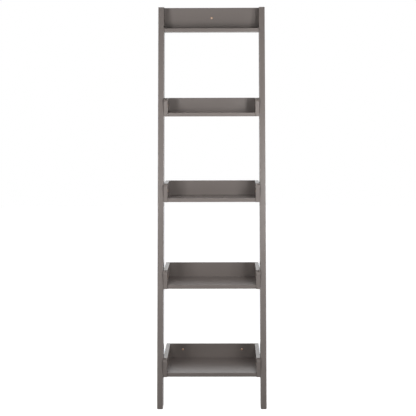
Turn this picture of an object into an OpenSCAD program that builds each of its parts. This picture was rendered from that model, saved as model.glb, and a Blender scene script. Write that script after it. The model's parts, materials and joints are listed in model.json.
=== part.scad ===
// Leaning ladder shelf with five tiers, painted wood.
//
// Two side rails lean back and are cut upright at the top, where they lie
// against a wall. The four lower tiers are trays: a shelf board, a back board
// and two side boards, doweled together and bolted to the inner faces of the
// rails. The top tier is only a shelf board and a taller back board, screwed
// between the rails. Every back board lies in the plane of the wall, so the
// trays get deeper towards the floor.
//
// Millimetres, +Z up, front -Y, wall side +Y, left -X. The origin is on the
// floor, at the centre of the footprint. Tier 1 is the lowest, tier 5 the top.

/* [Whole shelf] */
// Height above the floor
height = 1840; // [1800:5:1950]
// Width across the two rails
width = 500; // [420:5:700]
// From the wall to the front of the rail feet
floor_run = 450; // [430:1:480]
// Lean of the rails from upright, in degrees
lean = 11.2; // [10.5:0.1:11.8]

/* [Rails] */
// Thickness of a rail, across the shelf
rail_t = 27; // [24:0.5:32]
// Depth of a rail, square to its length
rail_depth = 108; // [90:1:115]
// Radius of the eased long edges of a rail
rail_edge_r = 2.5; // [1:0.5:4]

/* [Tiers] */
// Height of the lowest shelf surface above the floor
low_shelf = 161; // [140:1:180]
// From one shelf surface to the next
pitch = 395; // [370:1:400]
// Thickness of a shelf board
shelf_t = 18; // [16:0.5:22]
// Thickness of a back board
back_t = 16; // [15:0.5:20]
// Thickness of a tray side board
side_t = 19; // [18:0.5:22]
// Height of the tray walls above the shelf surface
wall_h = 68; // [55:1:90]
// Setback of a shelf's front edge from the front of its tray
setback = 9; // [5:1:15]
// Radius of the upper front corner of a tray side board
corner_r = 20; // [10:1:30]
// Radius of the eased edges of the boards
edge_r = 2; // [1:0.5:3]

/* [Wall fixing] */
// Diameter of the screw holes for the wall
wall_hole_d = 4; // [3.5:0.5:6]
// Width of the countersinks of those holes
wall_sink_d = 10; // [8:0.5:12]
// Height of the top screw hole above the top shelf surface
top_hole_rise = 50; // [30:1:70]
// Height of the lower screw holes above the lowest shelf surface
low_hole_rise = 42; // [30:1:50]
// Distance between the two lower screw holes
low_hole_gap = 284; // [200:2:320]

/* [Fasteners] */
// Diameter of the glued dowels
dowel_d = 8; // [6:1:10]
// Length of the glued dowels
dowel_l = 30; // [25:1:35]
// Diameter of the tray bolts
bolt_d = 6; // [5:1:8]
// Length of a tray bolt under its head
bolt_l = 30; // [25:1:32]
// Thickness of the feet's rubber pads
pad_t = 2; // [1:0.5:3]

/* [Hidden] */
$fn = 48;

// Finishes
PAINT = [0.47, 0.445, 0.43];
BEECH = [0.80, 0.64, 0.44];
STEEL = [0.30, 0.29, 0.28];
ZINC = [0.72, 0.70, 0.66];
RUBBER = [0.13, 0.13, 0.13];

// Sides and tiers
LEFT = -1;
RIGHT = 1;
SIDES = [LEFT, RIGHT];
TRAYS = [1, 2, 3, 4];
TOP = 5;
TIERS = [1, 2, 3, 4, 5];

// Corners of a flat outline: [left or right, lower or upper]
ALL_CORNERS = [[0, 0], [1, 0], [1, 1], [0, 1]];
FRONT_CORNERS = [[0, 0], [0, 1]];
UPPER_CORNERS = [[0, 1], [1, 1]];
LOWER_CORNERS = [[0, 0], [1, 0]];

// Planes
wall_y = floor_run / 2;
rail_in = width / 2 - rail_t;
tray_in = rail_in - side_t;
rail_run = rail_depth / cos(lean);

// Room for cuts that run past a face
eps = 1;
// Gap round a part that sits in a drilled hole
fit = 0.1;

// Dowel holes
dowel_hole_d = dowel_d + 2 * fit;
dowel_end_gap = 0.5;
dowel_in_side = 12;
dowel_in_back = 10;
dowel_in_end = dowel_l + 2 * dowel_end_gap - dowel_in_side;
dowel_in_shelf = dowel_l + 2 * dowel_end_gap - dowel_in_back;
dowel_margin = 18;
dowel_edge = 35;
back_dowels_x = [-120, 0, 120];

// Tray bolts and the inserts that take them
bolt_rise = 32;
bolt_edge = 26;
bolt_head_d = 14;
bolt_head_t = 3;
bolt_sink = 3.2;
bolt_sink_d = 15;
bolt_clear_d = bolt_d + 1;
bolt_end_c = 0.8;
insert_d = 10;
insert_l = 13;
insert_core_d = 9;
insert_sink = 0.2;
insert_rings = 3;
insert_hole_l = 17;
hex_af = 4;
hex_deep = 2;

// Screws through the rails into the top tier
screw_head_d = 10;
screw_head_t = 3;
screw_sink = 3.2;
screw_neck_d = 7;
screw_thread_d = 6.4;
screw_bite = 23;
screw_gap = 1;
screw_tip = 3;
screw_margin = 22;

// Countersinks of the wall screw holes, with walls at 45 degrees
wall_sink_l = (wall_sink_d - wall_hole_d) / 2;

// Pads
pad_inset = 3;

// Heights and depths of the tiers. Depths are measured from the wall.
function rail_front(z) = floor_run - (z - pad_t) * tan(lean);
function shelf_top(k) = low_shelf + (k - 1) * pitch;
function tier_bottom(k) = shelf_top(k) - shelf_t;
function tier_top(k) = k == TOP ? height : shelf_top(k) + wall_h;
function tier_run(k) = rail_front(tier_bottom(k));
function tier_half(k) = k == TOP ? rail_in : tray_in;
function shelf_mid(k) = shelf_top(k) - shelf_t / 2;

// Rows of dowels in a shelf's end: three in the deep trays, two in the others.
function row_count(k) = k <= 2 ? 3 : 2;
function row_first() = back_t + dowel_edge;
function row_last(k) = tier_run(k) - setback - dowel_edge;
function shelf_rows(k) = [
    for (i = [0 : row_count(k) - 1])
        row_first() + (row_last(k) - row_first()) * i / (row_count(k) - 1)
];

// [depth, height] of every dowel between a side board and what it holds
function shelf_end_spots(k) = [for (d = shelf_rows(k)) [d, shelf_mid(k)]];
function back_end_spots(k) = [
    for (z = [tier_bottom(k) + dowel_margin, tier_top(k) - dowel_margin]) [back_t / 2, z]
];

// [depth, height] of the two bolts on each side of a tray
function bolt_z(k) = shelf_top(k) + bolt_rise;
function bolt_spots(k) = [
    for (d = [bolt_edge, rail_run - bolt_edge]) [rail_front(bolt_z(k)) - d, bolt_z(k)]
];

// [depth, height] of the screws on each side of the top tier
function top_shelf_spots() = [
    for (d = [back_t + screw_margin, tier_run(TOP) - setback - screw_margin])
        [d, shelf_mid(TOP)]
];
function top_back_spots() = [
    for (z = [tier_bottom(TOP) + screw_margin, tier_top(TOP) - screw_margin]) [back_t / 2, z]
];
function top_spots() = concat(top_shelf_spots(), top_back_spots());

// Puts children's Z axis along X, outwards on the given side, starting at
// distance x from the middle, at depth spot[0] from the wall and height spot[1]
module outward(side, x, spot) {
    translate([side * x, wall_y - spot[0], spot[1]]) rotate([0, side * 90, 0]) children();
}

// The same, pointing in towards the middle
module inward(side, x, spot) {
    translate([side * x, wall_y - spot[0], spot[1]]) rotate([0, -side * 90, 0]) children();
}

// Puts children's Z axis along -Y, towards the front
module frontward(x, depth, z) {
    translate([x, wall_y - depth, z]) rotate([90, 0, 0]) children();
}

// Extrudes a profile drawn in Y and Z along X, from x0
module along_x(x0, length) {
    translate([x0, 0, 0]) rotate([90, 0, 90]) linear_extrude(length) children();
}

// Rectangle from the origin, with some corners rounded. Each corner is given
// as [0 or 1, 0 or 1]: left or right, lower or upper.
module eased_rect(w, h, r, corners) {
    difference() {
        square([w, h]);
        for (c = corners)
            translate([c[0] * (w - r), c[1] * (h - r)]) square(r);
    }
    for (c = corners)
        translate([c[0] == 0 ? r : w - r, c[1] == 0 ? r : h - r]) circle(r = r);
}

// Hexagon socket, cut down from the plane z = 0
module hex_socket() {
    translate([0, 0, -hex_deep])
        cylinder(d = hex_af / cos(30), h = hex_deep + eps, $fn = 6);
}

// A long board with eased edges, leaning back, trimmed level at both ends
// and upright where it meets the wall
module rail_blank(x0) {
    length = height / cos(lean) + 2 * rail_run;
    intersection() {
        translate([x0, wall_y - floor_run, pad_t])
            rotate([-lean, 0, 0])
                translate([0, 0, -rail_run])
                    linear_extrude(length)
                        eased_rect(rail_t, rail_depth, rail_edge_r, ALL_CORNERS);
        translate([x0 - eps, wall_y - floor_run - eps, pad_t])
            cube([rail_t + 2 * eps, floor_run + eps, height - pad_t]);
    }
}

// A rail, with blind holes for the inserts and stepped holes for the screws
module rail(side) {
    x0 = side == LEFT ? -width / 2 : width / 2 - rail_t;
    color(PAINT) difference() {
        rail_blank(x0);
        for (k = TRAYS, s = bolt_spots(k))
            outward(side, rail_in - eps, s)
                cylinder(d = insert_d + 2 * fit, h = insert_hole_l + eps);
        for (s = top_spots()) {
            outward(side, rail_in - eps, s)
                cylinder(d = screw_neck_d + 2 * fit, h = rail_t + 2 * eps);
            outward(side, width / 2 - screw_sink, s)
                cylinder(d = screw_head_d + 4 * fit, h = screw_sink + eps);
        }
    }
}

// Shelf board of a tier, with eased front edges and holes in the other three
module shelf(k) {
    half = tier_half(k);
    front = tier_run(k) - setback;
    color(PAINT) difference() {
        along_x(-half, 2 * half)
            translate([wall_y - front, tier_bottom(k)])
                eased_rect(front - back_t, shelf_t, edge_r, FRONT_CORNERS);
        for (x = back_dowels_x)
            frontward(x, back_t - eps, shelf_mid(k))
                cylinder(d = dowel_hole_d, h = dowel_in_shelf + eps);
        if (k == TOP)
            for (side = SIDES, s = top_shelf_spots())
                inward(side, half + eps, s)
                    cylinder(d = screw_thread_d + 2 * fit, h = screw_bite + screw_gap + eps);
        else
            for (side = SIDES, s = shelf_end_spots(k))
                inward(side, half + eps, s)
                    cylinder(d = dowel_hole_d, h = dowel_in_end + eps);
    }
}

// Countersunk holes through a back board for the screws that fix the shelf to
// the wall
module wall_holes(k) {
    spots = k == TOP ? [[0, shelf_top(k) + top_hole_rise]]
          : k == 1 ? [for (s = SIDES) [s * low_hole_gap / 2, shelf_top(k) + low_hole_rise]]
          : [];
    for (s = spots) {
        frontward(s[0], -eps, s[1]) cylinder(d = wall_hole_d, h = back_t + 2 * eps);
        frontward(s[0], back_t - wall_sink_l, s[1])
            cylinder(d1 = wall_hole_d, d2 = wall_sink_d + 2 * eps, h = wall_sink_l + eps);
    }
}

// Back board of a tier, flat against the wall, behind its shelf board
module back(k) {
    half = tier_half(k);
    color(PAINT) difference() {
        along_x(-half, 2 * half)
            translate([wall_y - back_t, tier_bottom(k)])
                eased_rect(back_t, tier_top(k) - tier_bottom(k), edge_r, UPPER_CORNERS);
        for (x = back_dowels_x)
            frontward(x, back_t - dowel_in_back, shelf_mid(k))
                cylinder(d = dowel_hole_d, h = dowel_in_back + eps);
        if (k == TOP)
            for (side = SIDES, s = top_back_spots())
                inward(side, half + eps, s)
                    cylinder(d = screw_thread_d + 2 * fit, h = screw_bite + screw_gap + eps);
        else
            for (side = SIDES, s = back_end_spots(k))
                inward(side, half + eps, s)
                    cylinder(d = dowel_hole_d, h = dowel_in_end + eps);
        wall_holes(k);
    }
}

// Outline of a side board in Y and Z: its upper front corner is rounded
module side_outline(run, h) {
    square([run, h - corner_r]);
    translate([corner_r, 0]) square([run - corner_r, h]);
    translate([corner_r, h - corner_r]) circle(r = corner_r, $fn = 96);
}

// Solid of a side board: its outline, with the top and front edges eased
module side_blank(side, k) {
    run = tier_run(k);
    h = tier_top(k) - tier_bottom(k);
    x0 = side == LEFT ? -rail_in : tray_in;
    intersection() {
        along_x(x0, side_t)
            translate([wall_y - run, tier_bottom(k)]) side_outline(run, h);
        translate([x0, wall_y, tier_bottom(k)])
            rotate([90, 0, 0])
                linear_extrude(run) eased_rect(side_t, h, edge_r, UPPER_CORNERS);
        translate([x0, wall_y - run, tier_bottom(k)])
            linear_extrude(h) eased_rect(side_t, run, edge_r, LOWER_CORNERS);
    }
}

// Side board of a tray, drilled for its dowels and for its two bolts
module side_board(side, k) {
    color(PAINT) difference() {
        side_blank(side, k);
        for (s = concat(shelf_end_spots(k), back_end_spots(k)))
            outward(side, tray_in - eps, s)
                cylinder(d = dowel_hole_d, h = dowel_in_side + eps);
        for (s = bolt_spots(k)) {
            outward(side, tray_in - eps, s) cylinder(d = bolt_clear_d, h = side_t + 2 * eps);
            outward(side, tray_in - eps, s) cylinder(d = bolt_sink_d, h = bolt_sink + eps);
        }
    }
}

// Glued dowels: shelf and back boards into the side boards, and each back
// board into the rear edge of its shelf board
module dowels() {
    end_start = tray_in + dowel_in_side - dowel_end_gap;
    back_start = back_t - dowel_in_back + dowel_end_gap;
    color(BEECH) {
        for (k = TRAYS, side = SIDES, s = concat(shelf_end_spots(k), back_end_spots(k)))
            inward(side, end_start, s) cylinder(d = dowel_d, h = dowel_l);
        for (k = TIERS, x = back_dowels_x)
            frontward(x, back_start, shelf_mid(k)) cylinder(d = dowel_d, h = dowel_l);
    }
}

// Tray bolt, its Z axis along the shank, starting at the top of its head
module tray_bolt() {
    difference() {
        cylinder(d = bolt_head_d, h = bolt_head_t);
        mirror([0, 0, 1]) hex_socket();
    }
    translate([0, 0, bolt_head_t]) cylinder(d = bolt_d - fit, h = bolt_l - bolt_end_c);
    translate([0, 0, bolt_head_t + bolt_l - bolt_end_c])
        cylinder(d1 = bolt_d - fit, d2 = bolt_d - fit - 2 * bolt_end_c, h = bolt_end_c);
}

module tray_bolts() {
    color(STEEL)
        for (k = TRAYS, side = SIDES, s = bolt_spots(k))
            outward(side, tray_in + bolt_sink - bolt_head_t, s) tray_bolt();
}

// Ribbed insert pressed into a rail, with a plain bore for the bolt
module rail_insert() {
    step = insert_l / (2 * insert_rings + 1);
    difference() {
        union() {
            cylinder(d = insert_core_d, h = insert_l);
            for (i = [0 : insert_rings])
                translate([0, 0, 2 * i * step]) cylinder(d = insert_d, h = step);
        }
        translate([0, 0, -eps]) cylinder(d = bolt_d, h = insert_l + 2 * eps);
    }
}

module rail_inserts() {
    color(ZINC)
        for (k = TRAYS, side = SIDES, s = bolt_spots(k))
            outward(side, rail_in + insert_sink, s) rail_insert();
}

// Screw with a flat head, its Z axis along the shank, from the top of its head
module top_screw() {
    neck_l = rail_t - screw_sink;
    difference() {
        cylinder(d = screw_head_d, h = screw_head_t);
        mirror([0, 0, 1]) hex_socket();
    }
    translate([0, 0, screw_head_t]) cylinder(d = screw_neck_d, h = neck_l);
    translate([0, 0, screw_head_t + neck_l])
        cylinder(d = screw_thread_d, h = screw_bite - screw_tip);
    translate([0, 0, screw_head_t + neck_l + screw_bite - screw_tip])
        cylinder(d1 = screw_thread_d, d2 = screw_thread_d - screw_tip, h = screw_tip);
}

module top_screws() {
    color(STEEL)
        for (side = SIDES, s = top_spots())
            inward(side, width / 2 - screw_sink + screw_head_t, s) top_screw();
}

// Rubber pads under the rail feet
module foot_pads() {
    color(RUBBER)
        for (x = [-width / 2, width / 2 - rail_t])
            translate([x + pad_inset, wall_y - floor_run + pad_inset, 0])
                linear_extrude(pad_t)
                    eased_rect(rail_t - 2 * pad_inset, rail_run - 2 * pad_inset,
                               edge_r, ALL_CORNERS);
}

rail(LEFT);  // rail_left
rail(RIGHT);  // rail_right
shelf(1);  // shelf_1
shelf(2);  // shelf_2
shelf(3);  // shelf_3
shelf(4);  // shelf_4
shelf(5);  // shelf_5
back(1);  // back_1
back(2);  // back_2
back(3);  // back_3
back(4);  // back_4
back(5);  // back_5
side_board(LEFT, 1);  // side_left_1
side_board(LEFT, 2);  // side_left_2
side_board(LEFT, 3);  // side_left_3
side_board(LEFT, 4);  // side_left_4
side_board(RIGHT, 1);  // side_right_1
side_board(RIGHT, 2);  // side_right_2
side_board(RIGHT, 3);  // side_right_3
side_board(RIGHT, 4);  // side_right_4
dowels();
tray_bolts();
rail_inserts();
top_screws();
foot_pads();
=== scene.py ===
"""Looks of a leaning ladder shelf: painted boards, drilled holes, bolts and pads."""

import json
from math import cos, pi, radians, sin

import bmesh
import bpy
from mathutils import Matrix, Vector


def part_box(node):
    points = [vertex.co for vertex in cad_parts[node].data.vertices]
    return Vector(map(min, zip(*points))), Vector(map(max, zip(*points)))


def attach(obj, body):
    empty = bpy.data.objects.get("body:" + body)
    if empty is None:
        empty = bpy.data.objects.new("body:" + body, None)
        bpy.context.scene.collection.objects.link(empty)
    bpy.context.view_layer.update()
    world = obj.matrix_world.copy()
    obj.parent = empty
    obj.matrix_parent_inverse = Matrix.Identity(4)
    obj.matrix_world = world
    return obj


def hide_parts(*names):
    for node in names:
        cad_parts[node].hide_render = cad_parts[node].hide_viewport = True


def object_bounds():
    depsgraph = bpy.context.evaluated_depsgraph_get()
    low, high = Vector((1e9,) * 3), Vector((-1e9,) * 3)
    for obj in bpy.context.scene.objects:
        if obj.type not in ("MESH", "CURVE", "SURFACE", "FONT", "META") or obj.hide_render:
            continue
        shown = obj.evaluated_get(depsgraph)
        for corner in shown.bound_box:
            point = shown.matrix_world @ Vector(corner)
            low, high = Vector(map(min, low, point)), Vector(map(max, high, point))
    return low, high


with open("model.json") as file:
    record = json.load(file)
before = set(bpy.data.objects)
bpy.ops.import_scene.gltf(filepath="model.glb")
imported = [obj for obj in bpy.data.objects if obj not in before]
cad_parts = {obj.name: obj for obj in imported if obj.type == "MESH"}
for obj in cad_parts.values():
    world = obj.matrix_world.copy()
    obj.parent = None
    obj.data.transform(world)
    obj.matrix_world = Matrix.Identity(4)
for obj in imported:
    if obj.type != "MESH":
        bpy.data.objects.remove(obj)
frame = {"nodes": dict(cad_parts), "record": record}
cad_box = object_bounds()

BODY = "root"

# The nodes of the shelf
TRAYS = (1, 2, 3, 4)
TIERS = (1, 2, 3, 4, 5)
TOP = 5
RAILS = ("rail_left", "rail_right")
SHELVES = tuple(f"shelf_{k}" for k in TIERS)
BACKS = tuple(f"back_{k}" for k in TIERS)
SIDES = tuple(f"side_{side}_{k}" for side in ("left", "right") for k in TRAYS)
TOP_BOARDS = (f"shelf_{TOP}", f"back_{TOP}")

# Eased edges, in metres
RAIL_EDGE = 0.0025
BOARD_EDGE = 0.002
BUTT_EDGE = 0.0004
CORNER_R = 0.020
EDGE_SEGMENTS = 4
CORNER_SEGMENTS = 16

# Drilled holes, in metres
HOLE_SEGMENTS = 40
MOUTH = 0.0004
PAST = 0.001
DOWEL_GAP = 0.0001
DOWEL_END_GAP = 0.0005
WALL_SINK_R = 0.005
BOLT_SINK_R = 0.0075
BOLT_SINK = 0.0032
BOLT_CLEAR_R = 0.0035
INSERT_R = 0.0051
INSERT_HOLE = 0.017
SCREW_SINK_R = 0.0052
SCREW_SINK = 0.0032
SCREW_NECK_R = 0.0036
SCREW_BITE_R = 0.0033
SCREW_BITE = 0.024

# Mesh work
WELD = 1e-6
SAME = 1e-4
SMOOTH_ANGLE = radians(35)
FLAT_COSINE = 0.9995

# Colours, linear
PAINT_LIGHT = (0.278, 0.243, 0.226)
PAINT_DARK = (0.260, 0.227, 0.211)
PAINT_RIM = (0.289, 0.253, 0.235)
WOOD = (0.88, 0.56, 0.33)
WOOD_DARK = (0.70, 0.42, 0.23)
BEECH = (0.62, 0.42, 0.24)
BEECH_DARK = (0.50, 0.31, 0.17)
STEEL = (0.20, 0.19, 0.18)
STEEL_DARK = (0.11, 0.105, 0.10)
ZINC = (0.62, 0.60, 0.56)
ZINC_DARK = (0.44, 0.42, 0.40)
RUBBER = (0.022, 0.022, 0.022)
RUBBER_DUST = (0.050, 0.048, 0.045)
FLOOR = (0.86, 0.86, 0.85)

# Noise: the range that it mostly fills, and each board's own place in it
USUAL = (0.3, 0.7)
NEXT_BOARD = Vector((1.7, 0.9, 0.4))

# Paint: noise scales per metre, bump depths in metres. The denoiser leaves pale
# specks where a roughness texture crosses about 0.274, so this one stays below.
CLOUD_SCALE = 4.0
PAINT_GRAIN_SCALE = 150.0
PAINT_GRAIN_STRETCH = (0.06, 1, 1)
PAINT_GRAIN_RANGE = (0.35, 0.75)
PAINT_GRAIN_SHADE = (0.0, 0.25)
PAINT_GRAIN_DEPTH = 0.000012
WEAR_SCALE = 60.0
WEAR_RANGE = (0.35, 0.65)
WEAR = (0.15, 0.8)
SHEEN_SCALE = 22.0
PAINT_ROUGH = (0.225, 0.27)
RIM_POLISH = 0.05
ROLLER_SCALE = 320.0
ROLLER_DEPTH = 0.000005
PAINT_IOR = 1.5

# Bare wood
GRAIN_SCALE = 260.0
GRAIN_STRETCH = (0.08, 1, 1)
GRAIN_RANGE = (0.35, 0.7)
GRAIN_DEPTH = 0.0001
PORE_SCALE = 1400.0
PORE_STRETCH = (0.15, 1, 1)
PORE_RANGE = (0.6, 0.75)
PORE_SHADE = (0.0, 0.5)
PORE_DEPTH = 0.00005
WOOD_ROUGH = (0.55, 0.72)

# Metal
BLOTCH_SCALE = 260.0
BLOTCH_RANGE = (0.35, 0.65)
MARK_SCALE = 2600.0
MARK_DEPTH = 0.00002
STEEL_ROUGH = 0.32
ZINC_ROUGH = 0.38
ROUGH_SPREAD = 0.12

# Rubber
DUST_SCALE = 180.0
DUST_RANGE = (0.45, 0.8)
PIT_SCALE = 1800.0
PIT_DEPTH = 0.00006
RUBBER_ROUGH = (0.72, 0.88)

# Camera, in metres, millimetres of lens and radians
CAMERA_AT = Vector((0.0616, -6.9918, 1.4455))
CAMERA_LENS = 130.27
CAMERA_SENSOR = 36.0
CAMERA_TILT = 0.07744
CAMERA_YAW = -0.01131
CAMERA_ROLL = -0.00286

# Lights, in metres and watts: three softboxes on each side and one straight in front
LIGHT_AWAY = 1.45
LIGHT_ASIDE = {-1: 0.54, 1: 0.51}
LIGHT_WIDTH = 0.13
HIGH_ASIDE = {-1: 0.80, 1: 0.80}
HIGH_HEIGHT = 1.80
HIGH_TALL = 0.40
HIGH_WATTS = {-1: 4.3, 1: 4.4}
KEY_HEIGHT = 1.38
KEY_TALL = 0.50
KEY_WATTS = {-1: 3.2, 1: 5.7}
LOW_HEIGHT = 0.60
LOW_TALL = 1.00
LOW_WATTS = {-1: 2.6, 1: 2.4}
FRONT_AWAY = 3.20
FRONT_HEIGHT = 1.40
FRONT_SIZE = 1.00
FRONT_WATTS = 1.1
AMBIENT = 0.01
FLOOR_BOUNCE = 0.18
BACKDROP_LIGHT = 0.97
BACKDROP_FADE = (0.15, 0.50)
BACKDROP_TOP = (0.35, 0.80)
HORIZON = (-0.05, 0.05)

# Floor
FLOOR_GLOW = 0.93
FLOOR_ROUGH = 0.9
FLOOR_TINT_SCALE = 3.0
FLOOR_TINT = 0.985
FLOOR_RADIUS = 12.0
FLOOR_SIDES = 96


# Reading the frame

def box(name):
    """Lowest and highest corner of a CAD node."""
    lo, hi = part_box(name)
    return Vector(lo), Vector(hi)


def welded(name):
    """A copy of a CAD node's mesh with its split vertices joined again."""
    bm = bmesh.new()
    bm.from_mesh(frame["nodes"][name].data)
    bmesh.ops.remove_doubles(bm, verts=bm.verts, dist=WELD)
    return bm


def islands(name):
    """Lowest and highest corner of every separate solid of a CAD node."""
    bm = welded(name)
    waiting, found = set(bm.verts), []
    while waiting:
        todo, corners = [waiting.pop()], []
        while todo:
            vert = todo.pop()
            corners.append(vert.co.copy())
            near = {e.other_vert(vert) for e in vert.link_edges} & waiting
            waiting -= near
            todo.extend(near)
        lo = Vector([min(c[i] for c in corners) for i in range(3)])
        hi = Vector([max(c[i] for c in corners) for i in range(3)])
        found.append((lo, hi))
    bm.free()
    return sorted(found, key=lambda pair: tuple(round(v, 5) for v in pair[0]))


def side_of(x):
    """-1 on the left of the shelf and 1 on the right."""
    return 1.0 if x > 0 else -1.0


RAIL_OUT = box("rail_right")[1].x
RAIL_IN = box("rail_right")[0].x
TRAY_IN = box("side_right_1")[0].x
SIDE_T = RAIL_IN - TRAY_IN
RAIL_T = RAIL_OUT - RAIL_IN
BACK_T = box("back_1")[1].y - box("back_1")[0].y


# Outlines in Y and Z

def rectangle(lo, hi):
    """A shelf or back board: its whole box."""
    return [(lo.y, lo.z), (hi.y, lo.z), (hi.y, hi.z), (lo.y, hi.z)]


def side_outline(lo, hi):
    """A tray's side board: its upper front corner is rounded."""
    centre = Vector((lo.y + CORNER_R, hi.z - CORNER_R))
    points = [(lo.y, lo.z), (hi.y, lo.z), (hi.y, hi.z)]
    for i in range(CORNER_SEGMENTS + 1):
        a = pi / 2 * (1 + i / CORNER_SEGMENTS)
        points.append((centre.x + CORNER_R * cos(a), centre.y + CORNER_R * sin(a)))
    return points


def rail_outline(name):
    """A rail's own corners: level foot, leaning back, upright wall face, level top."""
    lo, hi = box(name)
    bm = welded(name)
    spots = [(v.co.y, v.co.z) for v in bm.verts]
    bm.free()
    foot = [y for y, z in spots if abs(z - lo.z) < SAME]
    top = [y for y, z in spots if abs(z - hi.z) < SAME]
    wall = [z for y, z in spots if abs(y - hi.y) < SAME]
    return [(min(foot), lo.z), (max(foot), lo.z), (hi.y, min(wall)),
            (hi.y, hi.z), (min(top), hi.z)]


# Which edges of a board are eased, and by how much

def shelf_edge(a, b, lo, hi):
    """The two long front edges are rounded most."""
    front = abs(a.y - lo.y) < SAME and abs(b.y - lo.y) < SAME
    return BOARD_EDGE if front and abs(a.z - b.z) < SAME else BUTT_EDGE


def back_edge(a, b, lo, hi):
    """The two long upper edges are rounded most."""
    upper = abs(a.z - hi.z) < SAME and abs(b.z - hi.z) < SAME
    return BOARD_EDGE if upper and abs(a.y - b.y) < SAME else BUTT_EDGE


def side_edge(a, b, lo, hi):
    """The edges along the top, the front and the rounded corner are rounded most."""
    if abs(a.x - b.x) > SAME:
        return BUTT_EDGE
    low = abs(a.z - lo.z) < SAME and abs(b.z - lo.z) < SAME
    rear = abs(a.y - hi.y) < SAME and abs(b.y - hi.y) < SAME
    return BUTT_EDGE if low or rear else BOARD_EDGE


def rail_edge(a, b, lo, hi):
    """The long sloping edges are rounded, and the others stay almost sharp."""
    if abs(a.x - b.x) > SAME:
        return BUTT_EDGE
    level = abs(a.z - b.z) < SAME
    upright = abs(a.y - b.y) < SAME
    return BUTT_EDGE if level or upright else RAIL_EDGE


# Solids

def new_object(name, bm, *materials):
    mesh = bpy.data.meshes.new(name)
    bm.to_mesh(mesh)
    bm.free()
    for material in materials:
        mesh.materials.append(material)
    made = bpy.data.objects.new(name, mesh)
    bpy.context.scene.collection.objects.link(made)
    return made


def apply_modifiers(made):
    """Replaces an object's mesh by what its modifiers make of it."""
    graph = bpy.context.evaluated_depsgraph_get()
    made.data = bpy.data.meshes.new_from_object(made.evaluated_get(graph))
    made.modifiers.clear()


def prism(name, outline, lo, hi, edge_size, material):
    """A board: its outline from side to side, with every edge eased."""
    bm = bmesh.new()
    near, far = ([bm.verts.new((x, y, z)) for y, z in outline] for x in (lo.x, hi.x))
    bm.faces.new(near[::-1])
    bm.faces.new(far)
    for i in range(len(outline)):
        j = (i + 1) % len(outline)
        bm.faces.new((near[i], near[j], far[j], far[i]))
    bmesh.ops.recalc_face_normals(bm, faces=bm.faces)
    weights = bm.edges.layers.float.new("bevel_weight_edge")
    for edge in bm.edges:
        if edge.calc_face_angle() > SMOOTH_ANGLE:
            a, b = (v.co for v in edge.verts)
            edge[weights] = edge_size(a, b, lo, hi) / RAIL_EDGE
    board = new_object(name, bm, material)
    ease = board.modifiers.new("ease", "BEVEL")
    ease.limit_method = "WEIGHT"
    ease.width = RAIL_EDGE
    ease.segments = EDGE_SEGMENTS
    ease.use_clamp_overlap = False
    apply_modifiers(board)
    # At the rails' top rear corners the bevel overshoots by about 0.1 mm
    for vert in board.data.vertices:
        vert.co = [min(max(vert.co[i], lo[i]), hi[i]) for i in range(3)]
    return board


def drill(bm, start, along, profile):
    """Adds a turned cutter: profile holds (distance from start, radius) pairs."""
    turn = along.to_track_quat("Z", "Y").to_matrix()
    rings = []
    for distance, radius in profile:
        ring = []
        for i in range(HOLE_SEGMENTS):
            a = 2 * pi * i / HOLE_SEGMENTS
            spot = Vector((radius * cos(a), radius * sin(a), distance))
            ring.append(bm.verts.new(start + turn @ spot))
        rings.append(ring)
    bm.faces.new(rings[0][::-1])
    bm.faces.new(rings[-1])
    for low, high in zip(rings, rings[1:]):
        for i in range(HOLE_SEGMENTS):
            j = (i + 1) % HOLE_SEGMENTS
            bm.faces.new((low[i], low[j], high[j], high[i]))


def plain_hole(r, depth):
    """Profile of a blind hole that starts in the face."""
    return [(-PAST, r), (depth, r)]


def sunk_hole(sink_r, sink, r, depth):
    """Profile of a hole with a counterbore whose mouth is just eased."""
    return [(-PAST, sink_r + MOUTH + PAST), (MOUTH, sink_r), (sink, sink_r),
            (sink, r), (depth + PAST, r)]


def dowel_holes(bm, inside):
    """Holes a little wider and longer than the dowels."""
    for lo, hi in islands("dowels"):
        middle = (lo + hi) / 2
        size = hi - lo
        axis = max(range(3), key=lambda i: size[i])
        along = Vector([float(i == axis) for i in range(3)])
        r = size[(axis + 1) % 3] / 2 + DOWEL_GAP
        start = middle - along * (size[axis] / 2 + DOWEL_END_GAP)
        if inside(start, start + along * (size[axis] + 2 * DOWEL_END_GAP)):
            drill(bm, start, along, [(0, r), (size[axis] + 2 * DOWEL_END_GAP, r)])


def side_holes(bm, inside, fasteners, plane, turn, depth, profile):
    """Drills along X at each fastener, from plane outwards (turn 1) or inwards (-1)."""
    for lo, hi in islands(fasteners):
        middle = (lo + hi) / 2
        side = side_of(middle.x)
        along = Vector((side * turn, 0, 0))
        start = Vector((side * plane, middle.y, middle.z))
        if inside(start, start + along * depth):
            drill(bm, start, along, profile)


def bolt_holes(bm, inside):
    """Holes with a counterbore, through the tray sides."""
    profile = sunk_hole(BOLT_SINK_R, BOLT_SINK, BOLT_CLEAR_R, SIDE_T)
    side_holes(bm, inside, "tray_bolts", TRAY_IN, 1, SIDE_T, profile)


def insert_holes(bm, inside):
    """Blind holes in the rails' inner faces."""
    profile = plain_hole(INSERT_R, INSERT_HOLE)
    side_holes(bm, inside, "rail_inserts", RAIL_IN, 1, INSERT_HOLE, profile)


def screw_holes(bm, inside):
    """Holes with a counterbore, through the rails."""
    profile = sunk_hole(SCREW_SINK_R, SCREW_SINK, SCREW_NECK_R, RAIL_T)
    side_holes(bm, inside, "top_screws", RAIL_OUT, -1, RAIL_T, profile)


def pilot_holes(bm, inside):
    """Where the same screws bite into the boards of the top tier."""
    profile = plain_hole(SCREW_BITE_R, SCREW_BITE)
    side_holes(bm, inside, "top_screws", RAIL_IN, -1, SCREW_BITE, profile)


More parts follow.
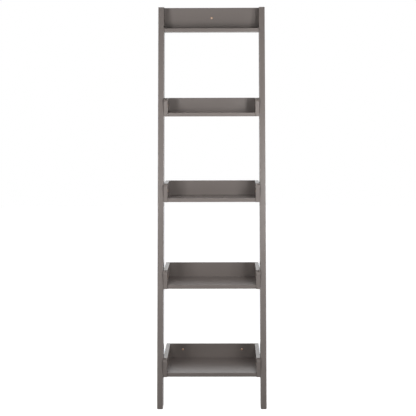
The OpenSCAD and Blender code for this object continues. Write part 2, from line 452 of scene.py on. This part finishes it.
def wall_hole_spots():
    """(centre, radius) of each hole for a wall screw, from the record's mounts."""
    mounts = {m["name"]: m for m in frame["record"]["mounts"]}
    upper, lower = mounts["wall_screw_top"], mounts["wall_screws_low"]
    spots = [(Vector(upper["pos_m"]), upper["dims"]["r_mm"] / 1000)]
    aside = Vector((lower["dims"]["spacing_x_mm"] / 2000, 0, 0))
    for side in (-1, 1):
        spots.append((Vector(lower["pos_m"]) + side * aside, lower["dims"]["hole_r_mm"] / 1000))
    return spots


def wall_holes(bm, inside):
    """Countersunk holes through the back boards."""
    for centre, r in wall_hole_spots():
        start = Vector((centre.x, cad_box[1].y - BACK_T, centre.z))
        if inside(start, start + Vector((0, BACK_T, 0))):
            drill(bm, start, Vector((0, 1, 0)),
                  [(-PAST, WALL_SINK_R + PAST), (WALL_SINK_R - r, r), (BACK_T - MOUTH, r),
                   (BACK_T + PAST, r + MOUTH + PAST)])


def cut(board, makers, material):
    """Drills a board with the holes that meet its box."""
    lo = Vector([min(v.co[i] for v in board.data.vertices) for i in range(3)])
    hi = Vector([max(v.co[i] for v in board.data.vertices) for i in range(3)])

    def inside(a, b):
        near = Vector(map(min, a, b))
        far = Vector(map(max, a, b))
        return all(near[i] < hi[i] - SAME and far[i] > lo[i] + SAME for i in range(3))

    bm = bmesh.new()
    for maker in makers:
        maker(bm, inside)
    if not bm.faces:
        bm.free()
        return
    cutter = new_object(board.name + "_cutter", bm, material)
    boolean = board.modifiers.new("holes", "BOOLEAN")
    boolean.operation = "DIFFERENCE"
    boolean.solver = "EXACT"
    boolean.material_mode = "TRANSFER"
    boolean.object = cutter
    apply_modifiers(board)
    bpy.data.objects.remove(cutter)


def finish_board(board, grain, across, shift):
    """Smooth shading, and the coordinates and rims that the finishes read."""
    mesh = board.data
    thin = grain.cross(across)
    spots = mesh.attributes.new("grain_co", "FLOAT_VECTOR", "POINT")
    for vert, spot in zip(mesh.vertices, spots.data):
        spot.vector = Vector([vert.co.dot(d) for d in (grain, across, thin)]) + shift
    rims = mesh.attributes.new("rim", "FLOAT", "FACE")
    for face, rim in zip(mesh.polygons, rims.data):
        facing = max(abs(face.normal.dot(d)) for d in (grain, across, thin))
        rim.value = 0.0 if facing > FLAT_COSINE else 1.0
    mesh.shade_smooth()
    mesh.set_sharp_from_angle(angle=SMOOTH_ANGLE)
    even = board.modifiers.new("even_normals", "WEIGHTED_NORMAL")
    even.keep_sharp = True


# Materials

class Tree:
    """A new material's nodes, with short ways to add and join them."""

    def __init__(self, name):
        self.material = bpy.data.materials.new(name)
        self.material.use_nodes = True
        self.tree = self.material.node_tree
        self.shader = self.tree.nodes["Principled BSDF"]

    def add(self, kind, inputs=None, **settings):
        node = self.tree.nodes.new(kind)
        for key, value in settings.items():
            setattr(node, key, value)
        for key, value in (inputs or {}).items():
            if isinstance(value, bpy.types.NodeSocket):
                self.tree.links.new(value, node.inputs[key])
            else:
                node.inputs[key].default_value = value
        return node

    def link(self, value, key):
        self.tree.links.new(value, self.shader.inputs[key])

    def set(self, **values):
        for key, value in values.items():
            self.shader.inputs[key.replace("_", " ")].default_value = value

    def noise(self, place, scale, stretch=(1, 1, 1), detail=3.0, rough=0.5):
        """Noise of a scale per metre, 0 to 1, drawn out along the axes of place."""
        sized = self.add("ShaderNodeVectorMath", {0: place, 1: stretch}, operation="MULTIPLY")
        node = self.add("ShaderNodeTexNoise", {"Vector": sized.outputs[0], "Scale": scale,
                                               "Detail": detail, "Roughness": rough})
        return node.outputs["Fac"]

    def ramp(self, value, low, high, low_out=0.0, high_out=1.0):
        node = self.add("ShaderNodeMapRange", {"Value": value, "From Min": low, "From Max": high,
                                               "To Min": low_out, "To Max": high_out})
        return node.outputs["Result"]

    def mix(self, amount, a, b):
        node = self.add("ShaderNodeMix", {"Factor": amount}, data_type="RGBA")
        for socket, value in zip([s for s in node.inputs if s.type == "RGBA"], (a, b)):
            if isinstance(value, bpy.types.NodeSocket):
                self.tree.links.new(value, socket)
            else:
                socket.default_value = (*value, 1.0)
        return next(s for s in node.outputs if s.type == "RGBA")

    def math(self, operation, a, b):
        return self.add("ShaderNodeMath", {0: a, 1: b}, operation=operation).outputs[0]

    def bumps(self, *layers):
        """(height, depth in metres) layers, one on the other."""
        normal = None
        for height, depth in layers:
            inputs = {"Height": height, "Distance": depth, "Strength": 1.0}
            if normal:
                inputs["Normal"] = normal
            normal = self.add("ShaderNodeBump", inputs).outputs["Normal"]
        self.link(normal, "Normal")


def paint_material():
    """Satin paint rolled on wood: faint grain under it, thin at the rims."""
    t = Tree("taupe_paint")
    place = t.add("ShaderNodeAttribute", attribute_name="grain_co").outputs["Vector"]
    rim = t.add("ShaderNodeAttribute", attribute_name="rim").outputs["Fac"]
    cloud = t.noise(place, CLOUD_SCALE, detail=2.0)
    grain = t.noise(place, PAINT_GRAIN_SCALE, stretch=PAINT_GRAIN_STRETCH, detail=2.0)
    patch = t.mix(t.ramp(cloud, *USUAL), PAINT_DARK, PAINT_LIGHT)
    shade = t.ramp(grain, *PAINT_GRAIN_RANGE, *PAINT_GRAIN_SHADE)
    streaked = t.mix(shade, patch, PAINT_DARK)
    wear = t.ramp(t.noise(place, WEAR_SCALE), *WEAR_RANGE, *WEAR)
    worn = t.math("MULTIPLY", rim, wear)
    t.link(t.mix(worn, streaked, PAINT_RIM), "Base Color")
    rough = t.ramp(t.noise(place, SHEEN_SCALE, detail=4.0), *USUAL, *PAINT_ROUGH)
    t.link(t.math("SUBTRACT", rough, t.math("MULTIPLY", worn, RIM_POLISH)), "Roughness")
    roller = t.noise(place, ROLLER_SCALE, detail=1.0)
    t.bumps((grain, PAINT_GRAIN_DEPTH), (roller, ROLLER_DEPTH))
    t.set(IOR=PAINT_IOR)
    return t.material


def wood_material(name, light, dark, place_from_board):
    """Bare wood, with its grain along the board or along X."""
    t = Tree(name)
    if place_from_board:
        place = t.add("ShaderNodeAttribute", attribute_name="grain_co").outputs["Vector"]
    else:
        place = t.add("ShaderNodeTexCoord").outputs["Object"]
    grain = t.noise(place, GRAIN_SCALE, stretch=GRAIN_STRETCH, detail=5.0, rough=0.6)
    pores = t.noise(place, PORE_SCALE, stretch=PORE_STRETCH, detail=2.0)
    tone = t.mix(t.ramp(grain, *GRAIN_RANGE), light, dark)
    t.link(t.mix(t.ramp(pores, *PORE_RANGE, *PORE_SHADE), tone, dark), "Base Color")
    t.link(t.ramp(grain, *USUAL, *WOOD_ROUGH), "Roughness")
    t.bumps((grain, GRAIN_DEPTH), (pores, PORE_DEPTH))
    return t.material


def metal_material(name, light, dark, rough):
    """Bolts, screws and inserts: plated metal with faint blotches and tool marks."""
    t = Tree(name)
    place = t.add("ShaderNodeTexCoord").outputs["Object"]
    blotch = t.noise(place, BLOTCH_SCALE)
    marks = t.noise(place, MARK_SCALE, detail=2.0)
    t.link(t.mix(t.ramp(blotch, *BLOTCH_RANGE), light, dark), "Base Color")
    t.link(t.ramp(blotch, *USUAL, rough, rough + ROUGH_SPREAD), "Roughness")
    t.bumps((marks, MARK_DEPTH))
    t.set(Metallic=1.0)
    return t.material


def rubber_material():
    """Black rubber with dust and pits."""
    t = Tree("pad_rubber")
    place = t.add("ShaderNodeTexCoord").outputs["Object"]
    dust = t.noise(place, DUST_SCALE, detail=4.0)
    pits = t.noise(place, PIT_SCALE, detail=2.0)
    t.link(t.mix(t.ramp(dust, *DUST_RANGE), RUBBER, RUBBER_DUST), "Base Color")
    t.link(t.ramp(dust, *USUAL, *RUBBER_ROUGH), "Roughness")
    t.bumps((pits, PIT_DEPTH))
    return t.material


def floor_material():
    """Pale studio floor, lit evenly from within so that it stays plain."""
    t = Tree("studio_floor")
    place = t.add("ShaderNodeTexCoord").outputs["Object"]
    tint = t.noise(place, FLOOR_TINT_SCALE)
    darker = [v * FLOOR_TINT for v in FLOOR]
    t.link(t.mix(t.ramp(tint, *USUAL), FLOOR, darker), "Base Color")
    t.set(Roughness=FLOOR_ROUGH, Emission_Strength=FLOOR_GLOW,
          Emission_Color=(1.0, 1.0, 1.0, 1.0))
    return t.material


# Pieces

def paint_shelf():
    """Builds every board and rail in place of its CAD node."""
    paint = paint_material()
    raw = wood_material("raw_wood", WOOD, WOOD_DARK, True)
    x, y, z = Vector((1, 0, 0)), Vector((0, 1, 0)), Vector((0, 0, 1))
    names = RAILS + SHELVES + BACKS + SIDES
    for number, name in enumerate(names):
        lo, hi = box(name)
        pilots = (pilot_holes,) if name in TOP_BOARDS else ()
        if name in RAILS:
            outline = rail_outline(name)
            foot, top = Vector((0, *outline[0])), Vector((0, *outline[-1]))
            grain = (top - foot).normalized()
            plan = (outline, rail_edge, (insert_holes, screw_holes), grain, x)
        elif name in SIDES:
            plan = (side_outline(lo, hi), side_edge, (dowel_holes, bolt_holes), y, z)
        elif name in SHELVES:
            plan = (rectangle(lo, hi), shelf_edge, (dowel_holes, *pilots), x, y)
        else:
            makers = (dowel_holes, wall_holes, *pilots)
            plan = (rectangle(lo, hi), back_edge, makers, x, z)
        outline, edge_size, makers, grain, across = plan
        board = prism("painted_" + name, outline, lo, hi, edge_size, paint)
        cut(board, makers, raw)
        finish_board(board, grain, across, NEXT_BOARD * (number + 1))
        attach(board, BODY)
        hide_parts(name)


def finish_hardware():
    """Better finishes for the CAD's own fasteners and pads."""
    beech = wood_material("beech_dowel", BEECH, BEECH_DARK, False)
    steel = metal_material("dark_steel", STEEL, STEEL_DARK, STEEL_ROUGH)
    zinc = metal_material("zinc", ZINC, ZINC_DARK, ZINC_ROUGH)
    finishes = {"dowels": beech, "tray_bolts": steel, "top_screws": steel,
                "rail_inserts": zinc, "foot_pads": rubber_material()}
    for name, material in finishes.items():
        node = frame["nodes"][name]
        node.data.materials.clear()
        node.data.materials.append(material)


# Studio

def add_floor():
    """A floor for the camera only: the world gives the light that it would bounce."""
    bm = bmesh.new()
    bmesh.ops.create_circle(bm, cap_ends=True, radius=FLOOR_RADIUS, segments=FLOOR_SIDES)
    floor = new_object("floor", bm, floor_material())
    floor.visible_diffuse = floor.visible_glossy = False


def add_softbox(name, place, wide, tall, watts):
    """A rectangular light that shines towards the wall."""
    lamp = bpy.data.lights.new(name, "AREA")
    lamp.shape = "RECTANGLE"
    lamp.size, lamp.size_y = wide, tall
    lamp.energy = watts
    made = bpy.data.objects.new(name, lamp)
    made.location = place
    made.rotation_euler = (pi / 2, 0, 0)
    made.visible_camera = False
    bpy.context.scene.collection.objects.link(made)


def add_lights():
    """The softboxes of both sides, and the front one."""
    wall = cad_box[1].y
    for side, word in ((-1, "left"), (1, "right")):
        for name, aside, height, tall, watts in (
                ("high", HIGH_ASIDE, HIGH_HEIGHT, HIGH_TALL, HIGH_WATTS),
                ("key", LIGHT_ASIDE, KEY_HEIGHT, KEY_TALL, KEY_WATTS),
                ("low", LIGHT_ASIDE, LOW_HEIGHT, LOW_TALL, LOW_WATTS)):
            place = (side * aside[side], wall - LIGHT_AWAY, height)
            add_softbox(name + "_" + word, place, LIGHT_WIDTH, tall, watts[side])
    place = (0, wall - FRONT_AWAY, FRONT_HEIGHT)
    add_softbox("front", place, FRONT_SIZE, FRONT_SIZE, FRONT_WATTS)


def add_world():
    """A pale backdrop low behind the shelf in a dim studio; the camera sees only white."""
    world = bpy.data.worlds.new("studio")
    world.use_nodes = True
    tree = world.node_tree
    background = tree.nodes["Background"]
    direction = tree.nodes.new("ShaderNodeTexCoord").outputs["Generated"]
    split = tree.nodes.new("ShaderNodeSeparateXYZ")
    tree.links.new(direction, split.inputs["Vector"])

    def fade(axis, start, end, at_start, at_end):
        node = tree.nodes.new("ShaderNodeMapRange")
        tree.links.new(split.outputs[axis], node.inputs["Value"])
        for key, value in (("From Min", start), ("From Max", end),
                           ("To Min", at_start), ("To Max", at_end)):
            node.inputs[key].default_value = value
        return node.outputs["Result"]

    def combine(operation, a, b):
        node = tree.nodes.new("ShaderNodeMath")
        node.operation = operation
        tree.links.new(a, node.inputs[0])
        tree.links.new(b, node.inputs[1])
        return node.outputs[0]

    behind = fade("Y", *BACKDROP_FADE, AMBIENT, BACKDROP_LIGHT)
    low = fade("Z", *BACKDROP_TOP, 1.0, AMBIENT)
    below = fade("Z", *HORIZON, FLOOR_BOUNCE, 0.0)
    lit = combine("MAXIMUM", combine("MULTIPLY", behind, low), below)
    seen = tree.nodes.new("ShaderNodeLightPath").outputs["Is Camera Ray"]
    tree.links.new(combine("MAXIMUM", lit, seen), background.inputs["Strength"])
    background.inputs["Color"].default_value = (1.0, 1.0, 1.0, 1.0)
    bpy.context.scene.world = world


def add_camera():
    """The camera at the photograph's place, from its tilt, yaw and roll."""
    forward = Vector((sin(CAMERA_YAW) * cos(CAMERA_TILT), cos(CAMERA_YAW) * cos(CAMERA_TILT),
                      -sin(CAMERA_TILT)))
    level = Vector((cos(CAMERA_YAW), -sin(CAMERA_YAW), 0))
    upward = level.cross(forward)
    right = level * cos(CAMERA_ROLL) + upward * sin(CAMERA_ROLL)
    up = upward * cos(CAMERA_ROLL) - level * sin(CAMERA_ROLL)
    lens = bpy.data.cameras.new("camera")
    lens.lens = CAMERA_LENS
    lens.sensor_width = CAMERA_SENSOR
    camera = bpy.data.objects.new("camera", lens)
    turn = Matrix((right, up, -forward)).transposed().to_4x4()
    camera.matrix_world = Matrix.Translation(CAMERA_AT) @ turn
    bpy.context.scene.collection.objects.link(camera)
    bpy.context.scene.camera = camera


paint_shelf()
finish_hardware()
add_floor()
add_lights()
add_world()
add_camera()
bpy.context.scene.view_settings.view_transform = "Standard"
